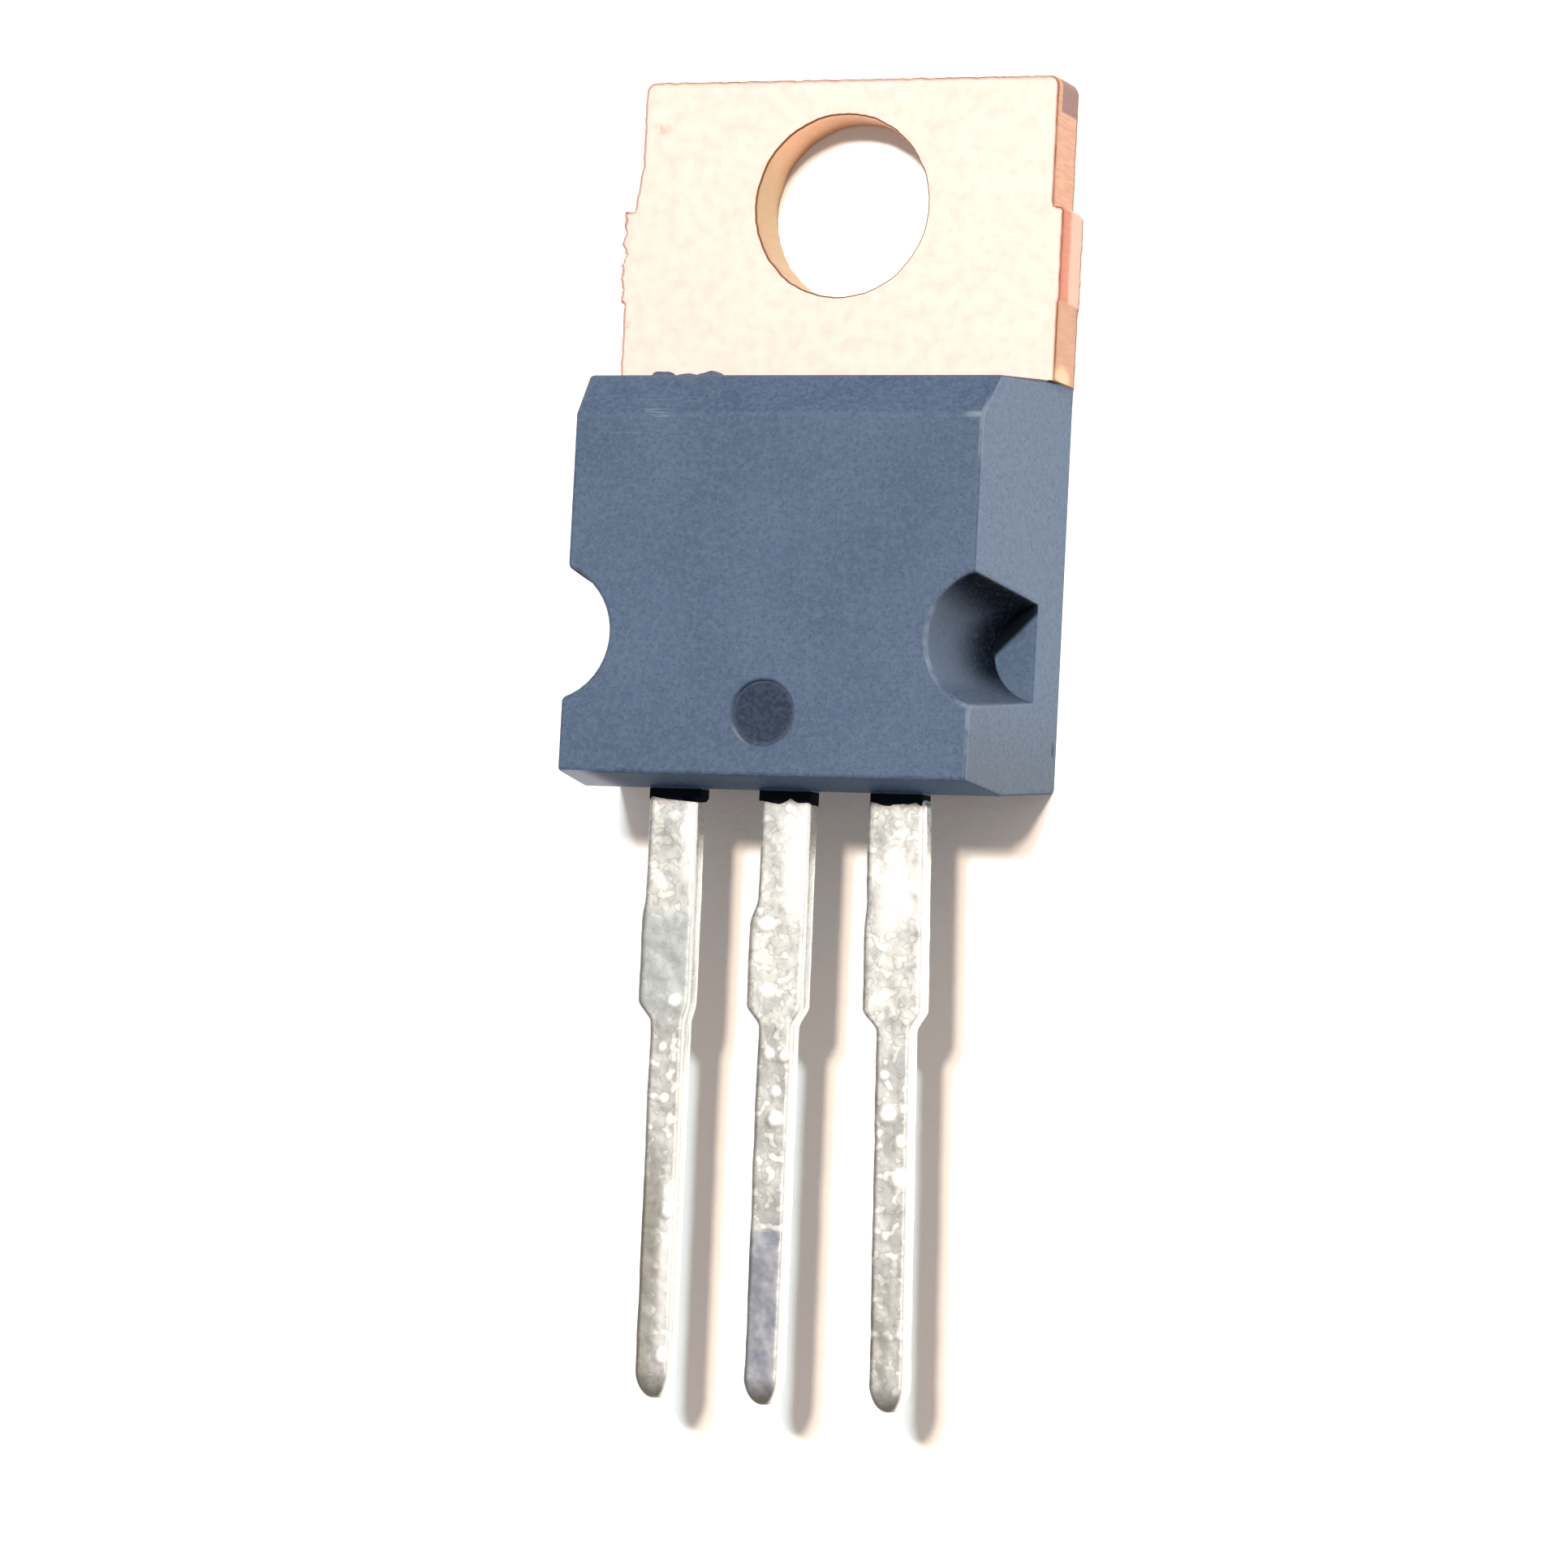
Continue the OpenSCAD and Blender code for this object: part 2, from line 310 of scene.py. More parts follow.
# The sides darker grey towards the lead end, with less painted sheen
EPOXY_GREY_END = (0.112, 0.158, 0.226)
EPOXY_GRAIN = (0.076, 0.115, 0.178)
EPOXY_PIT = (0.008, 0.02, 0.05)
EPOXY_MARK = (0.004, 0.01, 0.025)
# Painted light on the far left of the lead end's face
EPOXY_END_PAINTED_LIGHT = (0.31, 0.36, 0.48)
# Painted shade, near black: in the notches, and on the films at the leads' roots where the body's shadow falls
EPOXY_PAINTED_SHADE = (0.002, 0.003, 0.005)
# Pale colour of abraded edges and scratches, also a painted highlight on the ejector mark's rim
EPOXY_RUBBED_AND_HIGHLIGHT = (0.2, 0.25, 0.31)
EPOXY_STREAK = (0.01, 0.013, 0.017)
COPPER_FACE = ((0.79, 0.505, 0.465), (0.82, 0.535, 0.495))
COPPER_ROLLED = (0.76, 0.46, 0.41)
COPPER_SIDE = ((0.57, 0.325, 0.225), (0.65, 0.4, 0.295))
COPPER_STUB_LOWER = (0.78, 0.5, 0.44)
COPPER_STUB_UPPER = (0.56, 0.21, 0.15)
COPPER_BELOW_STUB = (0.49, 0.3, 0.195)
# Painted light: the hole's wall in the brown it shows where lit
COPPER_HOLE = (0.55, 0.4, 0.25)
# Painted light: warm brown on the hole's shaded upper wall
COPPER_HOLE_TOP_PAINTED_LIGHT = (0.76, 0.44, 0.28)
# Painted shade on the rounded rims of the tab and the hole, as their dark reflection
COPPER_RIM_PAINTED_SHADE = (0.33, 0.17, 0.09)
COPPER_DULL = (0.33, 0.24, 0.24)
COPPER_STAIN = (0.5, 0.3, 0.22)
COPPER_SMEAR = (0.84, 0.68, 0.44)
TIN_CLOUD = ((0.295, 0.302, 0.308), (0.42, 0.415, 0.398))
TIN_FACET = (0.48, 0.487, 0.47)
TIN_FRECKLE = (0.235, 0.226, 0.217)
TIN_NARROW = (0.25, 0.25, 0.252)
TIN_RIM = (0.2, 0.195, 0.19)
TIN_DROP = (0.62, 0.62, 0.61)
TIN_GLARE = (0.72, 0.72, 0.72)
TIN_GREY = (0.25, 0.27, 0.278)
# Painted reflection on the middle lead's tip, bluish
TIN_MIDDLE_TIP_REFLECTION = ((0.155, 0.165, 0.215), (0.245, 0.255, 0.285))
# Olive-grey patches on the right lead's tip, and painted shade on the left lead's lower end and at every tip
TIN_DRAB_AND_SHADE = (0.2, 0.193, 0.172)
# Painted highlight on the round beads of solder
TIN_BEAD_HIGHLIGHT = (0.95, 0.95, 0.93)
# Painted reflection: the leads' sides near white, as the bright floor beside them shows in them
TIN_SIDE_REFLECTION = (0.93, 0.97, 0.97)
PAPER_WHITE = ((0.83, 0.825, 0.81), (0.86, 0.855, 0.84))


# Small helpers

def smooth(low, high, value):
    """0 below low, 1 above high, and an even S-curve between them."""
    t = min(1.0, max(0.0, (value - low) / (high - low)))
    return t * t * (3 - 2 * t)


def at_least(least, share):
    """A share that starts from a least value instead of 0."""
    return least + (1 - least) * share


def wobble(point, size, seed):
    """Even noise between about -1 and 1, with lumps of that size in millimetres."""
    return noise.noise(Vector(point) / size + Vector((seed, 2.3 * seed, -1.7 * seed)))


def relief(point, lumps, seed=0.0):
    """How far a surface swells at a point, from noise of several sizes laid over each other."""
    return sum(lump.depth * wobble(point, lump.size, seed + lump.seed) for lump in lumps)


def finish_mesh(bm, name, materials, stands_for, crease=40):
    """Turns a millimetre bmesh into a piece in the part's frame that stands for CAD nodes."""
    bmesh.ops.recalc_face_normals(bm, faces=bm.faces)
    for face in bm.faces:
        face.smooth = True
    for edge in bm.edges:
        if edge.is_manifold and edge.calc_face_angle() > math.radians(crease):
            edge.smooth = False
    bmesh.ops.scale(bm, vec=(MM, MM, MM), verts=bm.verts)
    mesh = bpy.data.meshes.new(name)
    bm.to_mesh(mesh)
    bm.free()
    for material in materials:
        mesh.materials.append(material)
    piece = bpy.data.objects.new(name, mesh)
    bpy.context.scene.collection.objects.link(piece)
    normals = piece.modifiers.new("even_normals", "WEIGHTED_NORMAL")
    normals.keep_sharp = True
    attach(piece, "root")
    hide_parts(*stands_for)
    return piece


def cad_copy(node, weld=1e-4, flat_angle=math.radians(0.5)):
    """The node's solid as a bmesh in millimetres, with its flat faces whole again."""
    bm = bmesh.new()
    bm.from_mesh(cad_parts[node].data)
    bmesh.ops.scale(bm, vec=(1 / MM, 1 / MM, 1 / MM), verts=bm.verts)
    bmesh.ops.remove_doubles(bm, verts=bm.verts, dist=weld)
    bmesh.ops.dissolve_limit(bm, angle_limit=flat_angle, verts=bm.verts, edges=bm.edges)
    return bm


def keep_between(bm, y_low, y_high):
    """Cuts a bmesh off below and above two places along the part, and closes the cuts."""
    for y, side in ((y_low, -1), (y_high, 1)):
        geometry = bm.verts[:] + bm.edges[:] + bm.faces[:]
        bmesh.ops.bisect_plane(bm, geom=geometry, plane_co=(0, y, 0), plane_no=(0, side, 0), clear_outer=True)
        open_edges = [edge for edge in bm.edges if edge.is_boundary]
        bmesh.ops.holes_fill(bm, edges=open_edges, sides=0)


def join_loops(bm, loops):
    """Faces between each closed loop of points and the next one."""
    faces = []
    count = len(loops[0])
    for one, two in zip(loops, loops[1:]):
        for i in range(count):
            j = (i + 1) % count
            faces.append(bm.faces.new((one[i], one[j], two[j], two[i])))
    return faces


def add_shell(bm, rings, shares=None, material=0):
    """Joins rings of points into a closed, capped tube, and paints each point's share of a bead."""
    painted = bm.verts.layers.float.new("bead") if shares else None
    loops = [[bm.verts.new(point) for point in ring] for ring in rings]
    if shares:
        for loop, share in zip(loops, shares):
            for vert, value in zip(loop, share):
                vert[painted] = value
    faces = [bm.faces.new(list(reversed(loops[0]))), bm.faces.new(loops[-1])]
    faces += join_loops(bm, loops)
    for face in faces:
        face.material_index = material


def add_flake(bm, middle, half, seed):
    """A small uneven closed lump: a flake of flash."""
    made = bmesh.ops.create_icosphere(bm, subdivisions=FLASH_DETAIL, radius=1)
    for vert in made["verts"]:
        swell = 1 + relief(vert.co, FLASH_LUMPS, seed)
        vert.co = Vector(middle) + Vector([c * h * swell for c, h in zip(vert.co, half)])


# Materials

class Finish:
    """A material being built: its node tree, with short calls for the nodes that the finishes share."""

    def __init__(self, name):
        self.material = bpy.data.materials.new(name)
        self.material.use_nodes = True
        self.nodes = self.material.node_tree.nodes
        self.links = self.material.node_tree.links
        self.shader = self.nodes["Principled BSDF"]
        metres = self.nodes.new("ShaderNodeTexCoord").outputs["Object"]
        self.place = self.seen_from(metres, ORIGIN, (MM, MM, MM))

    def put(self, socket, value):
        """Links an output to a socket, or sets a plain value on it."""
        if isinstance(value, bpy.types.NodeSocket):
            self.links.new(value, socket)
        else:
            socket.default_value = value

    def set(self, **values):
        """Sets the shader's own sockets, named with underscores for blanks."""
        for name, value in values.items():
            self.put(self.shader.inputs[name.replace("_", " ")], value)

    def sum(self, operation, a, b=0.0):
        node = self.nodes.new("ShaderNodeMath")
        node.operation = operation
        self.put(node.inputs[0], a)
        self.put(node.inputs[1], b)
        return node.outputs[0]

    def fold(self, operation, values):
        total = values[0]
        for value in values[1:]:
            total = self.sum(operation, total, value)
        return total

    def all_of(self, *values):
        return self.fold("MULTIPLY", values)

    def any_of(self, *values):
        return self.fold("MAXIMUM", values)

    def seen_from(self, place, middle, stretch):
        """A place as seen from a middle, with the axes drawn out by stretch."""
        node = self.nodes.new("ShaderNodeMapping")
        self.put(node.inputs["Vector"], place)
        self.put(node.inputs["Location"], [-m / s for m, s in zip(middle, stretch)])
        self.put(node.inputs["Scale"], [1 / s for s in stretch])
        return node.outputs[0]

    def grain(self, size, detail=3.0, stretch=EVEN, rough=0.5):
        """Noise between 0 and 1 with grains of that size, drawn out along the axes by stretch."""
        node = self.nodes.new("ShaderNodeTexNoise")
        self.put(node.inputs["Vector"], self.seen_from(self.place, ORIGIN, stretch))
        self.put(node.inputs["Scale"], 1 / size)
        self.put(node.inputs["Detail"], detail)
        self.put(node.inputs["Roughness"], rough)
        return node.outputs["Fac"]

    def cells(self, size):
        """An even value between 0 and 1 for each of many small cells of that size."""
        node = self.nodes.new("ShaderNodeTexVoronoi")
        self.put(node.inputs["Vector"], self.place)
        self.put(node.inputs["Scale"], 1 / size)
        split = self.nodes.new("ShaderNodeSeparateColor")
        self.put(split.inputs[0], node.outputs["Color"])
        return split.outputs[0]

    def ramp(self, value, low, high, to_low=0.0, to_high=1.0):
        """Eases a value's range from low to high into another range."""
        node = self.nodes.new("ShaderNodeMapRange")
        node.interpolation_type = "SMOOTHSTEP"
        self.put(node.inputs["Value"], value)
        self.put(node.inputs["From Min"], low)
        self.put(node.inputs["From Max"], high)
        self.put(node.inputs["To Min"], to_low)
        self.put(node.inputs["To Max"], to_high)
        return node.outputs[0]

    def fall(self, value, low, high):
        """1 below low, 0 above high, and eased between them."""
        return self.ramp(value, low, high, 1.0, 0.0)

    def mix(self, factor, a, b):
        node = self.nodes.new("ShaderNodeMix")
        node.data_type = "RGBA"
        self.put(node.inputs["Factor"], factor)
        for socket, value in ((node.inputs[6], a), (node.inputs[7], b)):
            self.put(socket, value if isinstance(value, bpy.types.NodeSocket) else (*value, 1))
        return node.outputs[2]

    def lay(self, under, over, mask, strength):
        """Lays a colour over another where a mask is 1, at that strength."""
        return self.mix(self.sum("MULTIPLY", mask, strength), under, over)

    def axis(self, index):
        """Where a point lies along one axis."""
        node = self.nodes.new("ShaderNodeSeparateXYZ")
        self.put(node.inputs[0], self.place)
        return node.outputs[index]

    def facing(self, index):
        """How far the surface faces along one axis of the part."""
        node = self.nodes.new("ShaderNodeSeparateXYZ")
        self.put(node.inputs[0], self.nodes.new("ShaderNodeNewGeometry").outputs["Normal"])
        return node.outputs[index]

    def band(self, value, low, high, soft):
        """1 between two places, 0 beyond them, with soft ends."""
        rise = self.ramp(value, low - soft, low + soft)
        return self.sum("MULTIPLY", rise, self.fall(value, high - soft, high + soft))

    def zone(self, area):
        """1 within a stretch of the part, and 0 beyond it."""
        along = self.band(self.axis(Y), *area.along, area.along_soft)
        across = self.band(self.axis(X), *area.across, area.across_soft)
        return self.all_of(along, across)

    def reach(self, middle, stretch=EVEN):
        """How far a point lies from a middle, with the axes drawn out by stretch."""
        node = self.nodes.new("ShaderNodeVectorMath")
        node.operation = "LENGTH"
        self.put(node.inputs[0], self.seen_from(self.place, middle, stretch))
        return node.outputs["Value"]

    def spot(self, patch):
        """1 within a patch's reach, 0 beyond, with a soft rim."""
        far = self.reach(patch.middle, patch.stretch)
        return self.fall(far, patch.reach - patch.soft, patch.reach + patch.soft)

    def spots(self, patches):
        """1 within any of several patches."""
        return self.any_of(*[self.spot(patch) for patch in patches])

    def painted(self, name):
        """A value that the mesh carries at its points."""
        node = self.nodes.new("ShaderNodeAttribute")
        node.attribute_name = name
        return node.outputs["Fac"]

    def bump(self, *layers):
        """Stacks bumps on the shader's normal: each layer is a height and its depth."""
        normal = None
        for height, depth in layers:
            node = self.nodes.new("ShaderNodeBump")
            self.put(node.inputs["Height"], height)
            self.put(node.inputs["Distance"], depth * MM)
            if normal is not None:
                self.put(node.inputs["Normal"], normal)
            normal = node.outputs[0]
        self.set(Normal=normal)


def in_notch(look, any_height=1e6):
    """1 inside either conical side notch, and 0 on the faces around it."""
    widen = (NOTCH_FRONT_R - NOTCH_FLOOR_R) / (BODY_T - TAB_T)
    rise = look.sum("MULTIPLY", look.axis(Z), widen)
    foot_r = NOTCH_FLOOR_R - widen * TAB_T
    inside = []
    for side in (-1, 1):
        far = look.reach((side * NOTCH_X, NOTCH_Y, 0), (1, 1, any_height))
        inside.append(look.fall(look.sum("SUBTRACT", far, rise), foot_r, foot_r + NOTCH_RIM))
    return look.all_of(look.any_of(*inside), look.ramp(look.axis(Z), *NOTCH_BOTTOM_Z))


def notch_painted_shade(look):
    """Painted shade in the notches: the wall sheltered from the lamps, the inner wall's foot, and the floor
    under both behind the slanting edge of the lamps' shadow.
    """
    along = look.axis(Y)
    up = look.axis(Z)
    out = look.sum("ABSOLUTE", look.axis(X))
    sheltered = look.all_of(look.ramp(along, *NOTCH_SHELTER_Y), look.ramp(out, *NOTCH_SHELTER_X))
    foot = look.all_of(look.fall(up, *NOTCH_FOOT_Z), look.ramp(along, *NOTCH_FOOT_Y))
    on_floor = look.fall(up, *NOTCH_FLOOR_Z)
    uneven_shade = look.ramp(look.grain(0.1, 2), 0.25, 0.55, 0.8, 1.0)
    wall = look.all_of(look.any_of(sheltered, foot), uneven_shade, look.fall(on_floor, 0.0, 1.0))
    floor = look.all_of(on_floor, look.ramp(look.sum("SUBTRACT", along, out), *NOTCH_SLANT))
    return look.all_of(in_notch(look), look.any_of(wall, floor))


def epoxy_painted_shade(look):
    """Painted shade, almost black: in the notches, and on the resin film at the leads' roots where the body's
    shadow falls.
    """
    film = look.band(look.axis(Y), BODY_EXIT - 1, BODY_EXIT - 0.02, 0.01)
    return look.sum("MULTIPLY", look.any_of(notch_painted_shade(look), film), 0.95)


def epoxy_wear_and_highlight(look, everywhere=0.05):
    """Where the moulding's rounded edges are abraded pale, in patches and a little everywhere, with a painted
    highlight on the ejector mark's lower left rim.
    """
    rubbed_and_lit = look.any_of(look.spots(RUBBED_EDGES_AND_MARK_HIGHLIGHT), everywhere)
    patchy = look.ramp(look.grain(0.4, 2), 0.2, 0.7)
    return look.all_of(look.painted("edge"), rubbed_and_lit, patchy)


def epoxy_finish():
    """Matte filled epoxy, blue-grey, with a fine grain, a painted sheen that makes the sides paler, abraded
    edges, a painted highlight on the ejector mark's rim, painted light at the lead end's far left, painted
    shade in the notches and on the leads' roots, and faint scratches.
    """
    look = Finish("epoxy")
    broad = look.grain(2.2, 2)
    fine = look.grain(0.13, 3, rough=0.65)
    speck = look.grain(0.07, 1)
    sideways = look.ramp(look.sum("ABSOLUTE", look.facing(X)), 0.6, 0.9)
    to_leads = look.fall(look.facing(Y), *FACES_LEADS)
    mark = look.spot(MARK_FLOOR)
    painted_shade = epoxy_painted_shade(look)
    colour = look.mix(look.ramp(broad, 0.3, 0.7), *EPOXY_FACE)
    # Painted sheen: the sides paler than the front, less so inside the notches
    side_sheen = look.all_of(sideways, look.ramp(in_notch(look), 0.0, 1.0, 1.0, 0.35))
    colour = look.mix(side_sheen, colour, EPOXY_SIDE_SHEEN)
    # Less painted sheen on the sides towards the lead end
    grey_end = look.all_of(sideways, look.fall(look.axis(Y), *GREY_END_Y))
    colour = look.mix(grey_end, colour, EPOXY_GREY_END)
    calm = look.ramp(sideways, 0.0, 1.0, 1.0, 0.5)
    grain = look.all_of(look.ramp(fine, 0.35, 0.7, 0.0, 0.55), calm)
    colour = look.mix(grain, colour, EPOXY_GRAIN)
    pits = look.all_of(look.ramp(speck, 0.5, 0.72, 0.0, 0.4), calm)
    colour = look.mix(pits, colour, EPOXY_PIT)
    mottled = look.all_of(mark, look.ramp(look.grain(0.11, 3, rough=0.7), 0.3, 0.7, 1.0, 0.55))
    colour = look.mix(mottled, colour, EPOXY_MARK)
    # Painted light on the far left of the lead end's face
    end_painted_light = look.all_of(to_leads, look.band(look.axis(X), *END_PAINTED_LIGHT_X, 0.25))
    colour = look.lay(colour, EPOXY_END_PAINTED_LIGHT, end_painted_light, 0.8)
    # Painted shade, near black, in the notches and on the leads' roots
    colour = look.mix(painted_shade, colour, EPOXY_PAINTED_SHADE)
    # Abraded edges, and a painted highlight on the ejector mark's rim
    colour = look.lay(colour, EPOXY_RUBBED_AND_HIGHLIGHT, epoxy_wear_and_highlight(look), 0.6)
    scratch_line = look.ramp(look.grain(0.09, 2, (9, 0.5, 1)), 0.6, 0.74)
    scuff = look.all_of(scratch_line, look.spots(SCRATCHED))
    colour = look.lay(colour, EPOXY_RUBBED_AND_HIGHLIGHT, scuff, 0.4)
    colour = look.lay(colour, EPOXY_STREAK, look.spot(SIDE_STREAK), 0.7)
    look.set(Base_Color=colour, Roughness=look.ramp(fine, 0.3, 0.7, 0.62, 0.74), IOR=1.5)
    dull_end = look.all_of(
        to_leads,
        look.ramp(look.axis(X), *DULL_END_X),
        look.band(look.axis(Y), BODY_EXIT - 1, NEAR_EXIT, 0.05),
    )
    shelter = look.any_of(painted_shade, look.sum("MULTIPLY", mark, 0.5), look.sum("MULTIPLY", dull_end, 0.65))
    look.set(Specular_IOR_Level=look.ramp(shelter, 0.0, 1.0, 0.5, 0.02))
    plain = look.ramp(mark, 0.0, 1.0, 1.0, 0.8)
    look.bump((look.all_of(fine, plain, calm), 0.004), (broad, 0.02))
    return look.material


def copper_side(look, sheared):
    """The tab's walls: sheared streaks, the two tones of the cut stub, and the hole's wall painted browner as
    it looks lit, with its shaded upper part painted a warm brown.
    """
    side = look.mix(look.ramp(sheared, 0.3, 0.7), *COPPER_SIDE)
    stub = look.zone(STUB_FACE)
    lower = look.all_of(stub, look.fall(look.axis(Z), *STUB_LOWER_Z))
    side = look.lay(side, COPPER_STUB_LOWER, lower, 0.8)
    upper = look.all_of(stub, look.ramp(look.axis(Z), *STUB_UPPER_Z))
    side = look.lay(side, COPPER_STUB_UPPER, upper, 0.75)
    below_stub = look.band(look.axis(Y), BEYOND_BODY, STUB_LOW, 0.05)
    side = look.lay(side, COPPER_BELOW_STUB, below_stub, 0.5)
    # Painted light: the hole's wall browner, as it looks where lit
    hole = look.spot(HOLE_WALL)
    side = look.lay(side, COPPER_HOLE, hole, 0.85)
    # Painted light: the hole's upper wall, in shade, tinted a warm brown
    hole_top_light = look.all_of(hole, look.ramp(look.axis(Y), *HOLE_TOP_Y))
    return look.lay(side, COPPER_HOLE_TOP_PAINTED_LIGHT, hole_top_light, 0.9)


def copper_finish():
    """Satin copper: pale rolled faces, redder sheared edges, painted shade on the rounded rims, painted light
    on the hole's wall, a dull patch at one corner and a few nicks.
    """
    look = Finish("copper")
    level = look.facing(Z)
    upward = look.ramp(level, 0.55, 0.9)
    broad = look.grain(1.4, 3)
    rolled = look.grain(0.32, 3)
    sheared = look.grain(0.08, 3, (1, 1, 7))
    face = look.mix(broad, *COPPER_FACE)
    face = look.mix(look.ramp(rolled, 0.45, 0.75, 0.0, 0.25), face, COPPER_ROLLED)
    colour = look.mix(upward, copper_side(look, sheared), face)
    broken = look.ramp(look.grain(0.5, 2), 0.35, 0.6, 0.35, 0.85)
    # Painted shade: the rounded rims darkened in broken stretches and all round the hole, as their dark
    # reflection
    lip = look.all_of(
        look.ramp(level, 0.3, 0.5),
        look.fall(level, 0.7, 0.9),
        look.any_of(broken, look.spot(HOLE_LIP)),
    )
    colour = look.mix(lip, colour, COPPER_RIM_PAINTED_SHADE)
    dull = look.all_of(
        look.band(look.axis(X), DULL_CORNER_X, BEYOND_SIDE, 0.05),
        look.ramp(look.axis(Y), *DULL_CORNER_Y),
        look.fall(look.axis(Z), *DULL_CORNER_Z),
        look.fall(level, 0.4, 0.7),
    )
    colour = look.lay(colour, COPPER_DULL, dull, 0.85)
    blotch = look.all_of(look.spots(TAB_STAINS), look.ramp(look.grain(0.12, 3), 0.4, 0.6))
    colour = look.lay(colour, COPPER_STAIN, blotch, 0.6)
    colour = look.lay(colour, COPPER_SMEAR, look.spot(TAB_SMEAR), 0.7)
    rough = look.ramp(rolled, 0.25, 0.75, 0.43, 0.47)
    rough = look.sum("ADD", rough, look.sum("MULTIPLY", look.any_of(dull, upward), 0.22))
    look.set(Base_Color=colour, Roughness=rough, Metallic=1.0)
    torn = look.fall(upward, 0.0, 1.0)
    look.bump((look.all_of(sheared, torn), 0.0015), (rolled, 0.0006), (broad, 0.005))
    return look.material


def tin_tips(look, colour, cloud):
    """The leads' lower ends: a bluish painted reflection on the middle lead, olive-grey patches on the right
    lead, and painted shade on the left lead's left half and at every tip.
    """
    # Painted reflection: the middle lead's tip bluish
    tip_reflection = look.mix(look.ramp(cloud, 0.35, 0.65), *TIN_MIDDLE_TIP_REFLECTION)
    colour = look.lay(colour, tip_reflection, look.zone(MIDDLE_TIP), 0.85)
    right_tip = look.all_of(look.zone(RIGHT_TIP), look.ramp(look.grain(0.5, 2), 0.42, 0.55))
    # Olive-grey patches on the right lead's tip; painted shade on the left lead's left half and at every tip
    drab_and_shade = look.any_of(
        look.sum("MULTIPLY", look.zone(LEFT_TIP), 0.85),
        look.sum("MULTIPLY", right_tip, 0.75),
        look.sum("MULTIPLY", look.band(look.axis(Y), BEYOND_TIPS, ALL_TIPS_Y, 0.22), 0.85),
    )
    return look.mix(drab_and_shade, colour, TIN_DRAB_AND_SHADE)


def tin_finish():
    """Solder-dipped lead: bright and uneven, with painted glare, painted highlights on its beads and a painted
    sheen on its sides; towards the tips it has olive-grey patches, painted shade and a painted reflection.
    """
    look = Finish("tin")
    cloud = look.grain(0.45, 2)
    crystal = look.grain(0.14, 3, rough=0.5)
    blob = look.grain(0.24, 1, rough=0.4)
    colour = look.mix(look.ramp(cloud, 0.3, 0.7), *TIN_CLOUD)
    colour = look.mix(look.ramp(look.cells(0.24), 0.1, 0.9, 0.0, 0.6), colour, TIN_FACET)
    freckle = look.ramp(look.grain(0.2, 2, (1, 1.4, 1)), 0.56, 0.7)
    colour = look.lay(colour, TIN_FRECKLE, freckle, 0.45)
    narrow = look.band(look.axis(Y), BEYOND_TIPS, NARROW_Y, 0.25)
    colour = look.lay(colour, TIN_NARROW, narrow, 0.4)
    rim = look.all_of(look.ramp(blob, 0.5, 0.55), look.fall(blob, 0.55, 0.6))
    colour = look.lay(colour, TIN_RIM, rim, 0.45)
    drop = look.all_of(look.ramp(blob, 0.53, 0.74), look.ramp(narrow, 0.0, 1.0, 0.4, 0.7))
    colour = look.mix(drop, colour, TIN_DROP)
    colour = look.lay(colour, TIN_GLARE, look.spots(LEAD_GLARE), 0.5)
    colour = look.lay(colour, TIN_GREY, look.zone(GREY_LEAD), 0.7)
    colour = tin_tips(look, colour, cloud)
    # Painted highlight on the round beads of solder
    colour = look.lay(colour, TIN_BEAD_HIGHLIGHT, look.painted("bead"), 0.75)
    outward = look.facing(X)
    sideways = look.ramp(outward, 0.3, 0.8)
    # Painted reflection: the sides near white, as the bright floor beside them shows in them
    colour = look.mix(sideways, colour, TIN_SIDE_REFLECTION)
    rough = look.ramp(crystal, 0.3, 0.7, 0.44, 0.56)
    rough = look.sum("SUBTRACT", rough, look.sum("MULTIPLY", sideways, 0.2))
    corner = look.all_of(look.ramp(outward, 0.12, 0.4), look.fall(outward, 0.8, 0.98))
    look.set(Base_Color=colour, Roughness=rough, Metallic=look.ramp(corner, 0.0, 1.0, 1.0, 0.3))
    look.bump((crystal, 0.002), (cloud, 0.006))
    return look.material


def hidden_finish(name, dark, light, rough, metallic, uneven=0.06):
    """A finish for what is sealed inside the body, with a little cloud and grain."""
    look = Finish(name)
    cloud = look.grain(0.4, 3)
    look.set(Base_Color=look.mix(cloud, dark, light), Metallic=metallic)
    look.set(Roughness=look.ramp(cloud, 0.3, 0.7, rough - uneven, rough + uneven))
    look.bump((look.grain(0.06, 2), 0.004))
    return look.material


def paper_finish():
    """White paper with a faint tooth."""
    look = Finish("paper")
    look.set(Base_Color=look.mix(look.grain(9, 3), *PAPER_WHITE), Roughness=0.9)
    look.bump((look.grain(0.3, 4), 0.02))
    return look.material


# Pieces

def outside_edge(edge):
    """True for an outer corner of the moulding that shows: not a cavity, a lead's hole or the back."""
    if len(edge.link_faces) != 2 or not edge.is_convex or edge.calc_face_angle() < SHARP_ANGLE:
        return False
    x, y, z = (edge.verts[0].co + edge.verts[1].co) / 2
    if z < ABOVE_BACK or (y < LEAD_HOLE_END and abs(z - LEAD_Z) < LEAD_HOLE_HALF):
        return False
    return z > NEAR_FRONT or abs(x) > NEAR_SIDE or y > NEAR_BEVEL or y < NEAR_EXIT


def on_mark(edge):
    """True for an edge of the round ejector mark."""
    x, y, z = (edge.verts[0].co + edge.verts[1].co) / 2
    return math.hypot(x - MARK_PLACE[X], y - MARK_PLACE[Y]) < NEAR_MARK and z > NEAR_FRONT


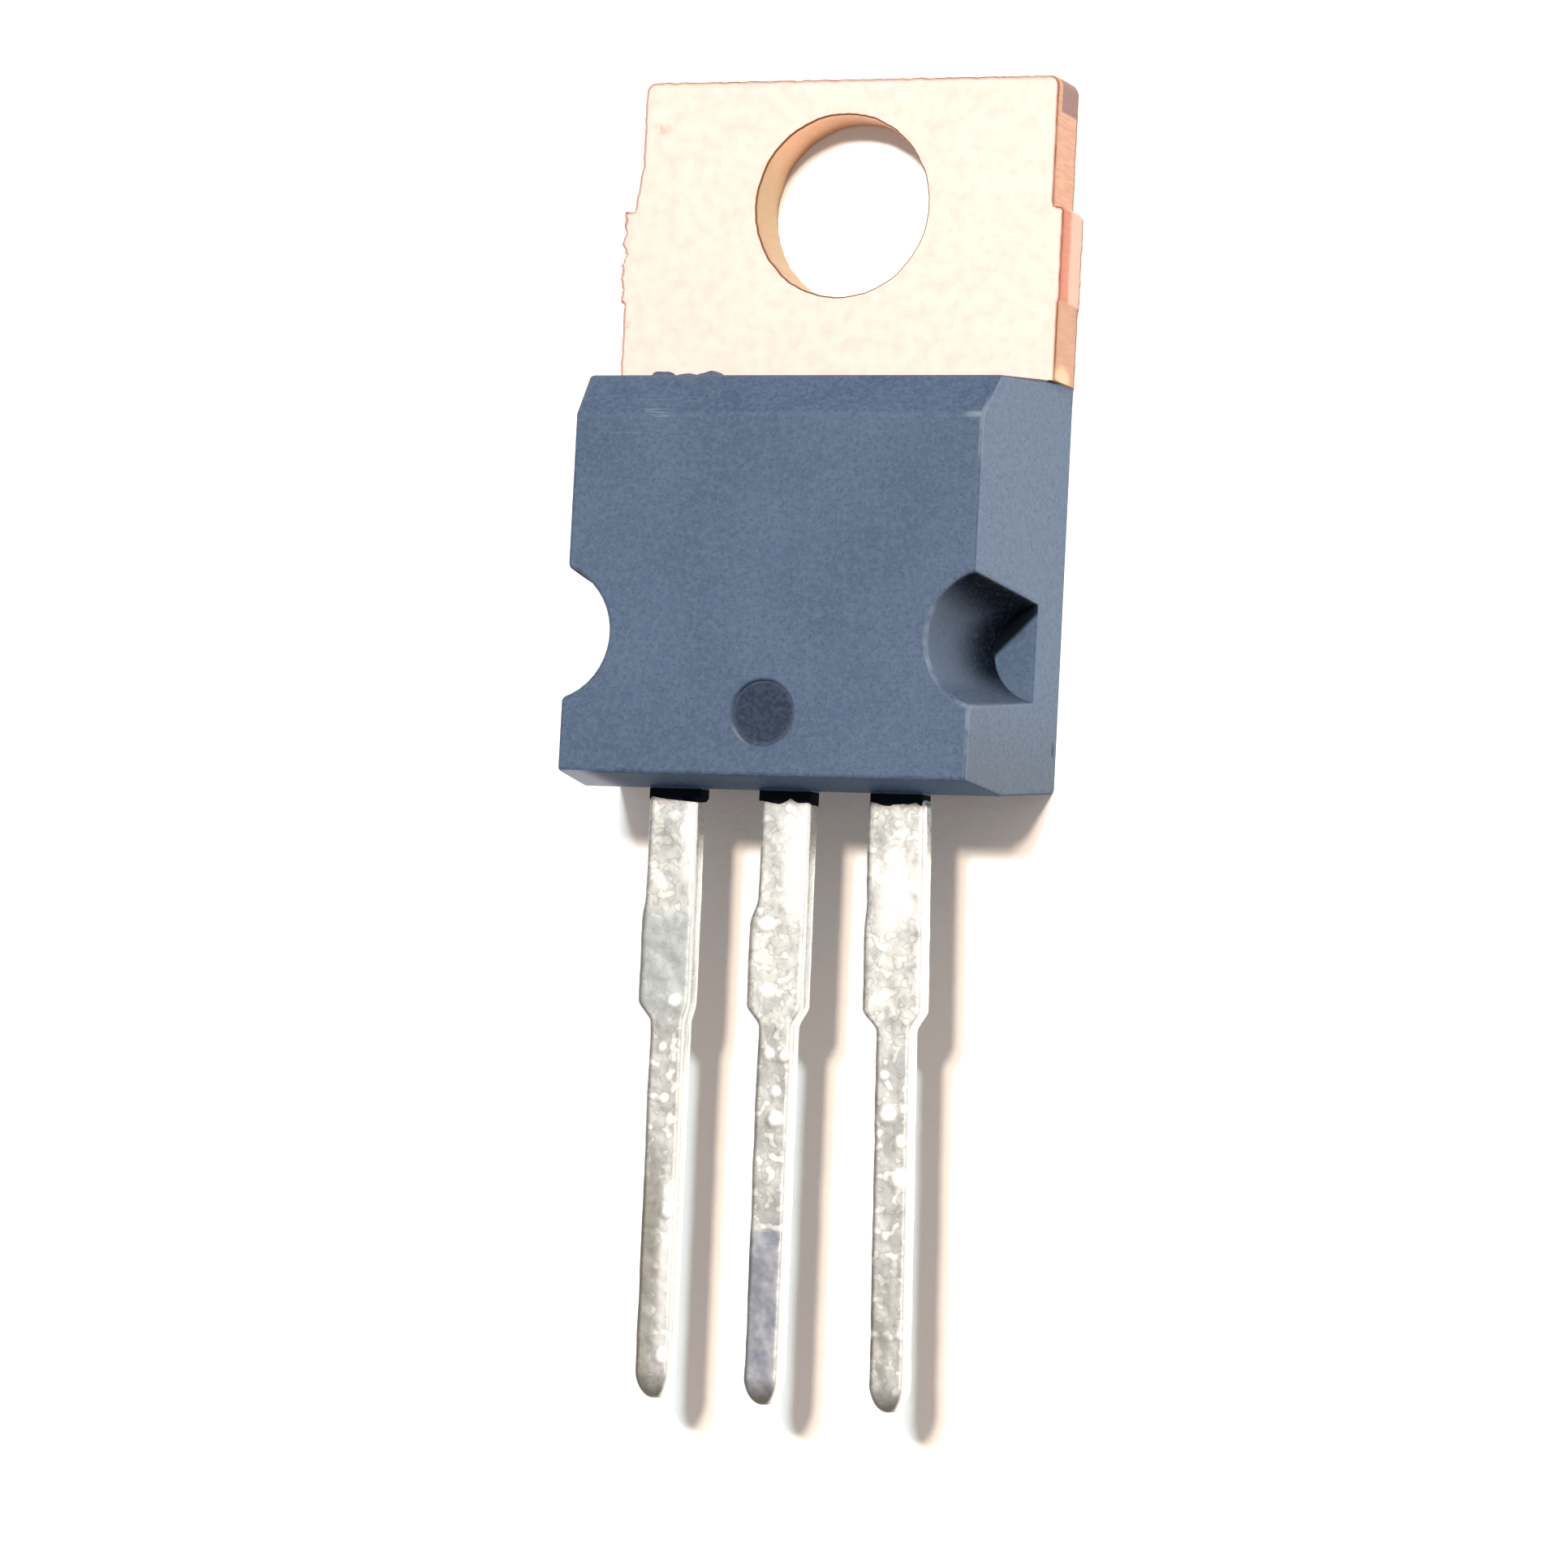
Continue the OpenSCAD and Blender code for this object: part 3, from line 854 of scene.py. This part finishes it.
def round_edges(bm, edges, width, edge_middle):
    """Rounds edges off, and paints the middle of each rounding as where wear shows, and on the ejector mark's
    rim a painted highlight.
    """
    made = bmesh.ops.bevel(bm, geom=edges, offset=width, segments=ROUND_SEGMENTS, profile=0.5,
                           affect="EDGES", clamp_overlap=True)
    rounded = set(made["faces"])
    for vert in made["verts"]:
        if all(face in rounded for face in vert.link_faces):
            vert[edge_middle] = 1.0


def lead_section(half_w, half_t):
    """Points around a lead's rounded section: the place across, the height and the outward direction."""
    round_r = min(LEAD_ROUND, ROUND_LIMIT * half_w, ROUND_LIMIT * half_t)
    flat_w = half_w - round_r
    flat_t = half_t - round_r
    corners = []
    for side, up, start in ((1, 1, 0), (-1, 1, 90), (-1, -1, 180), (1, -1, 270)):
        corner = []
        for i in range(SECTION_ROUND_STEPS + 1):
            angle = math.radians(start + 90 * i / SECTION_ROUND_STEPS)
            out = Vector((math.cos(angle), 0, math.sin(angle)))
            corner.append((side * flat_w + round_r * out.x, up * flat_t + round_r * out.z, out))
        corners.append(corner)
    points = []
    for corner, following, steps in zip(corners, corners[1:] + corners[:1], SECTION_FLAT_STEPS):
        points += corner
        for i in range(1, steps):
            share = i / steps
            side = corner[-1][0] + (following[0][0] - corner[-1][0]) * share
            up = corner[-1][1] + (following[0][1] - corner[-1][1]) * share
            points.append((side, up, corner[-1][2]))
    return points


def add_film(bm, lead):
    """The thin ragged film of resin that has run out along a lead's root, near black from painted shade where
    the body's shadow falls.
    """
    root_x = LEADS[lead].root
    section = lead_section(FILM_HALF_W, FILM_HALF_T)
    rings = []
    for far in FILM_RINGS:
        ring = []
        for side, up, _ in section:
            ragged = far * (1 + relief((side, 0, up), FILM_LUMPS, root_x))
            ring.append((root_x + side, BODY_EXIT - ragged, LEAD_Z + up))
        rings.append(ring)
    add_shell(bm, rings)


def moulded_body(epoxy):
    """The moulding with its edges rounded, flakes of flash at the tab, and films of resin on the leads, which
    carry painted shade where the body's shadow falls.
    """
    bm = cad_copy("moulded_body")
    edge_middle = bm.verts.layers.float.new("edge")
    chosen = [edge for edge in bm.edges if outside_edge(edge)]
    mark_rim = [edge for edge in chosen if on_mark(edge)]
    corners = [edge for edge in chosen if not on_mark(edge)]
    round_edges(bm, corners, EDGE_ROUND, edge_middle)
    mark_rim = [edge for edge in mark_rim if edge.is_valid]
    round_edges(bm, mark_rim, MARK_ROUND, edge_middle)
    for flake in FLASH:
        add_flake(bm, *flake)
    for lead in LEADS:
        add_film(bm, lead)
    return finish_mesh(bm, "moulded_body_rounded", [epoxy], ["moulded_body"], BODY_CREASE)


def corner_arc(x, inwards, start):
    """A rounded corner of the tab's free end: its points from one edge to the next."""
    centre_x = x + inwards * CORNER_R
    centre_y = TAB_END - CORNER_R
    arc = []
    for i in range(CORNER_STEPS + 1):
        turn = math.radians(start + 90 * i / CORNER_STEPS)
        point = (centre_x + CORNER_R * math.cos(turn), centre_y + CORNER_R * math.sin(turn))
        arc.append((point, ROUNDED))
    arc[-1] = (arc[-1][0], WAVY)
    return arc


def tab_corners():
    """The tab's outline, counter-clockwise, with how rough each stretch is up to its next point."""
    right = [
        ((TAB_RIGHT, PLATE_LOW), JOINT),
        ((TAB_RIGHT, PLATE_LOW + PLATE_LIFT), SHEARED),
        ((TAB_RIGHT, STUB_LOW - STUB_RAMP), SHEARED),
        ((STUB_RIGHT, STUB_LOW), STUB_FOOT),
        ((STUB_RIGHT, STEP - STUB_CORNER), STUB_TOP),
        ((STUB_RIGHT - STUB_CORNER, STEP), SHEARED),
        ((END_RIGHT, STEP + STEP_RISE), SHEARED),
    ]
    left = [
        ((END_LEFT, FLARE_TOP), WAVY),
        ((END_LEFT - FLARE_W, STEP), SHEARED),
        ((STUB_LEFT + STUB_TEAR, STEP), TORN),
        ((STUB_LEFT, STEP - STUB_CORNER), TORN),
        ((STUB_LEFT, STUB_LOW), WAVY),
        ((TAB_LEFT, STUB_LOW - STUB_RAMP), WAVY),
        ((TAB_LEFT, PLATE_LOW), JOINT),
    ]
    return right + corner_arc(END_RIGHT, -1, 0) + corner_arc(END_LEFT, 1, 90) + left


def tab_outline():
    """Close points along the outline, each with its outward direction and its roughness."""
    corners = tab_corners()
    points = []
    for (start, rough), (end, _) in zip(corners, corners[1:] + corners[:1]):
        a = Vector(start)
        b = Vector(end)
        count = max(1, round((b - a).length / OUTLINE_STEP))
        points += [(a.lerp(b, i / count), rough) for i in range(count)]
    outline = []
    for i, (point, rough) in enumerate(points):
        along = points[(i + 1) % len(points)][0] - points[i - 1][0]
        outline.append((point, Vector((along.y, -along.x)).normalized(), rough))
    return outline


def tab_rings():
    """The tab's wall and the hole's wall, as rings of points from the back to the front."""
    outline = tab_outline()
    outer = []
    inner = []
    for z, inset, torn in TAB_WALL:
        ring = []
        for point, out, rough in outline:
            ragged = rough * relief((point.x, point.y, TEAR_RISE * z), OUTLINE_LUMPS)
            pitted = torn * relief((point.x, point.y, z), WALL_PITS)
            moved = point
            if rough != JOINT:
                moved = point + out * (ragged * at_least(LEAST_RAGGED, torn) + pitted - inset)
            ring.append((moved.x, moved.y, z))
        outer.append(ring)
        hole = []
        for i in range(HOLE_WALL_POINTS):
            turn = 2 * math.pi * i / HOLE_WALL_POINTS
            place = Vector((math.cos(turn), math.sin(turn), 0.0)) * HOLE_R
            waver = relief(place, HOLE_WAVER) + torn * relief((place.x, place.y, z), HOLE_PITS)
            radius = HOLE_R + HOLE_INSET * inset + waver
            hole.append((radius * math.cos(turn), radius * math.sin(turn), z))
        inner.append(hole)
    return outer, inner


def add_tab(bm):
    """The tab: its torn outer wall, the hole's wall, and the flat faces between them."""
    caps = []
    for rings in tab_rings():
        loops = [[bm.verts.new(point) for point in ring] for ring in rings]
        join_loops(bm, loops)
        caps.append((loops[0], loops[-1]))
    for end, up in ((0, -1), (1, 1)):
        edges = []
        for loops in caps:
            loop = loops[end]
            edges += [bm.edges.get((loop[i - 1], loop[i])) for i in range(len(loop))]
        bmesh.ops.triangle_fill(bm, use_beauty=True, edges=edges, normal=(0, 0, up))
        for edge in edges:
            edge.smooth = False


def lead_stations():
    """Distances from the body at which a lead's rings lie, closer together around its tip."""
    inside = LEAD_CUT - BODY_EXIT
    even = [LEAD_STEP * i - inside for i in range(int((LEAD_L + inside) / LEAD_STEP))]
    tip = [LEAD_L - TIP_L * (1 - math.sin(math.radians(turn))) for turn in TIP_TURNS]
    return sorted(even + tip)


def bead_at(lead, far, side):
    """How high the beads stand at a place on a lead, and how much of a bead it is."""
    height = 0.0
    share = 0.0
    for name, bead_far, bead_side, size, bead_height in BEADS:
        if name == lead:
            away = math.hypot(far - bead_far, side - bead_side) / size
            near = math.exp(-BEAD_FALL * away ** BEAD_POWER)
            height += bead_height * near
            share = max(share, near)
    return height, share


def lead_rings(lead):
    """Rings of points along one solder-dipped lead, from inside the body to its tip, and their bead shares."""
    shape = LEADS[lead]
    turn = Matrix.Rotation(math.radians(shape.lean), 3, "Z")
    rings = []
    shares = []
    for s in lead_stations():
        wet = smooth(*WETTING, s)
        slim = smooth(*SHOULDER, s)
        into_tip = max(0.0, (s - LEAD_L + TIP_L) / TIP_L)
        shrink = math.sqrt(max(0.0, 1 - into_tip ** TIP_BLUNT))
        wide_half = ROOT_HALF + (shape.wide_half - ROOT_HALF) * wet
        half_w = (wide_half + (NARROW_HALF - wide_half) * slim) * at_least(TIP_WIDTH, shrink)
        half_t = LEAD_HALF_T * at_least(TIP_THICKNESS, shrink)
        middle = shape.wide_middle * wet + (shape.narrow_middle - shape.wide_middle) * slim
        dam = shape.dam * smooth(*DAM_START, s) * (1 - slim)
        ring = []
        share = []
        for side, up, out in lead_section(half_w, half_t):
            place = Vector((middle + side + dam * min(0.0, side / half_w), -s, up))
            height, bead = bead_at(lead, s, side) if up > 0 else (0.0, 0.0)
            lump = relief(place, LEAD_LUMPS, shape.root) + height
            place = turn @ (place + out * lump * wet * at_least(TIP_LUMPS, shrink))
            ring.append((place.x + shape.root, place.y + BODY_EXIT, place.z + LEAD_Z))
            share.append(bead)
        rings.append(ring)
        shares.append(share)
    return rings, shares


def outer_lead(lead, node, tin):
    """An outer lead: its bonding flag as in the solid, and its solder-dipped length."""
    bm = cad_copy(node)
    keep_between(bm, LEAD_CUT, 0)
    add_shell(bm, *lead_rings(lead))
    return finish_mesh(bm, node + "_dipped", [tin], [node])


def copper_frame(copper, tin):
    """Tab, chip pad and solder-dipped middle lead in one piece."""
    bm = cad_copy("copper_frame")
    keep_between(bm, LEAD_CUT, TAB_JOINT)
    add_tab(bm)
    add_shell(bm, *lead_rings("middle"), 1)
    return finish_mesh(bm, "copper_frame_dipped", [copper, tin], ["copper_frame"])


def dress_inside():
    """Finishes for the nodes sealed in the body, which keep their CAD shapes."""
    finishes = {
        "chip": hidden_finish("silicon", (0.12, 0.13, 0.17), (0.2, 0.21, 0.26), 0.25, 0.0),
        "chip_solder": hidden_finish("chip_solder", (0.45, 0.45, 0.47), (0.6, 0.6, 0.61), 0.45, 1.0),
        "base_wire": hidden_finish("base_wire", (0.78, 0.79, 0.81), (0.87, 0.88, 0.9), 0.3, 1.0),
        "emitter_wire": hidden_finish("emitter_wire", (0.76, 0.77, 0.8), (0.86, 0.87, 0.89), 0.3, 1.0),
    }
    for node, material in finishes.items():
        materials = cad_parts[node].data.materials
        materials.clear()
        materials.append(material)


# Floor, light and camera

def add_floor():
    """A sheet of white paper just under the part."""
    side = FLOOR_HALF_M
    z = -FLOOR_BELOW_M
    corners = [(-side, -side, z), (side, -side, z), (side, side, z), (-side, side, z)]
    mesh = bpy.data.meshes.new("paper_sheet")
    mesh.from_pydata(corners, [], [(0, 1, 2, 3)])
    mesh.materials.append(paper_finish())
    floor = bpy.data.objects.new("paper_sheet", mesh)
    bpy.context.scene.collection.objects.link(floor)


def add_lights():
    """The two lamps and the room's even light."""
    for lamp in LAMPS:
        light = bpy.data.lights.new(lamp.name, "SUN")
        light.energy = lamp.energy
        light.angle = LAMP_ANGLE
        light.color = lamp.colour
        holder = bpy.data.objects.new(lamp.name, light)
        holder.rotation_mode = "QUATERNION"
        holder.rotation_quaternion = Vector(lamp.direction).to_track_quat("Z", "Y")
        bpy.context.scene.collection.objects.link(holder)
    room = bpy.data.worlds.new("room")
    room.use_nodes = True
    background = room.node_tree.nodes["Background"]
    background.inputs["Color"].default_value = ROOM_COLOUR
    background.inputs["Strength"].default_value = ROOM_STRENGTH
    bpy.context.scene.world = room


def add_camera():
    """The photograph's camera."""
    right = Vector(CAMERA_RIGHT).normalized()
    back = right.cross(Vector(CAMERA_UP)).normalized()
    up = back.cross(right)
    data = bpy.data.cameras.new("camera")
    data.sensor_width = SENSOR_W
    data.lens = LENS
    data.clip_start = CLIP_START_M
    data.clip_end = CLIP_END_M
    camera = bpy.data.objects.new("camera", data)
    turn = Matrix((right, up, back)).transposed()
    camera.matrix_world = Matrix.Translation(Vector(CAMERA_PLACE) * MM) @ turn.to_4x4()
    bpy.context.scene.collection.objects.link(camera)
    bpy.context.scene.camera = camera


epoxy = epoxy_finish()
copper = copper_finish()
tin = tin_finish()
add_camera()
add_floor()
add_lights()
bpy.context.scene.view_settings.view_transform = "Standard"
moulded_body(epoxy)
copper_frame(copper, tin)
outer_lead("left", "base_lead", tin)
outer_lead("right", "emitter_lead", tin)
dress_inside()

bpy.context.view_layer.update()
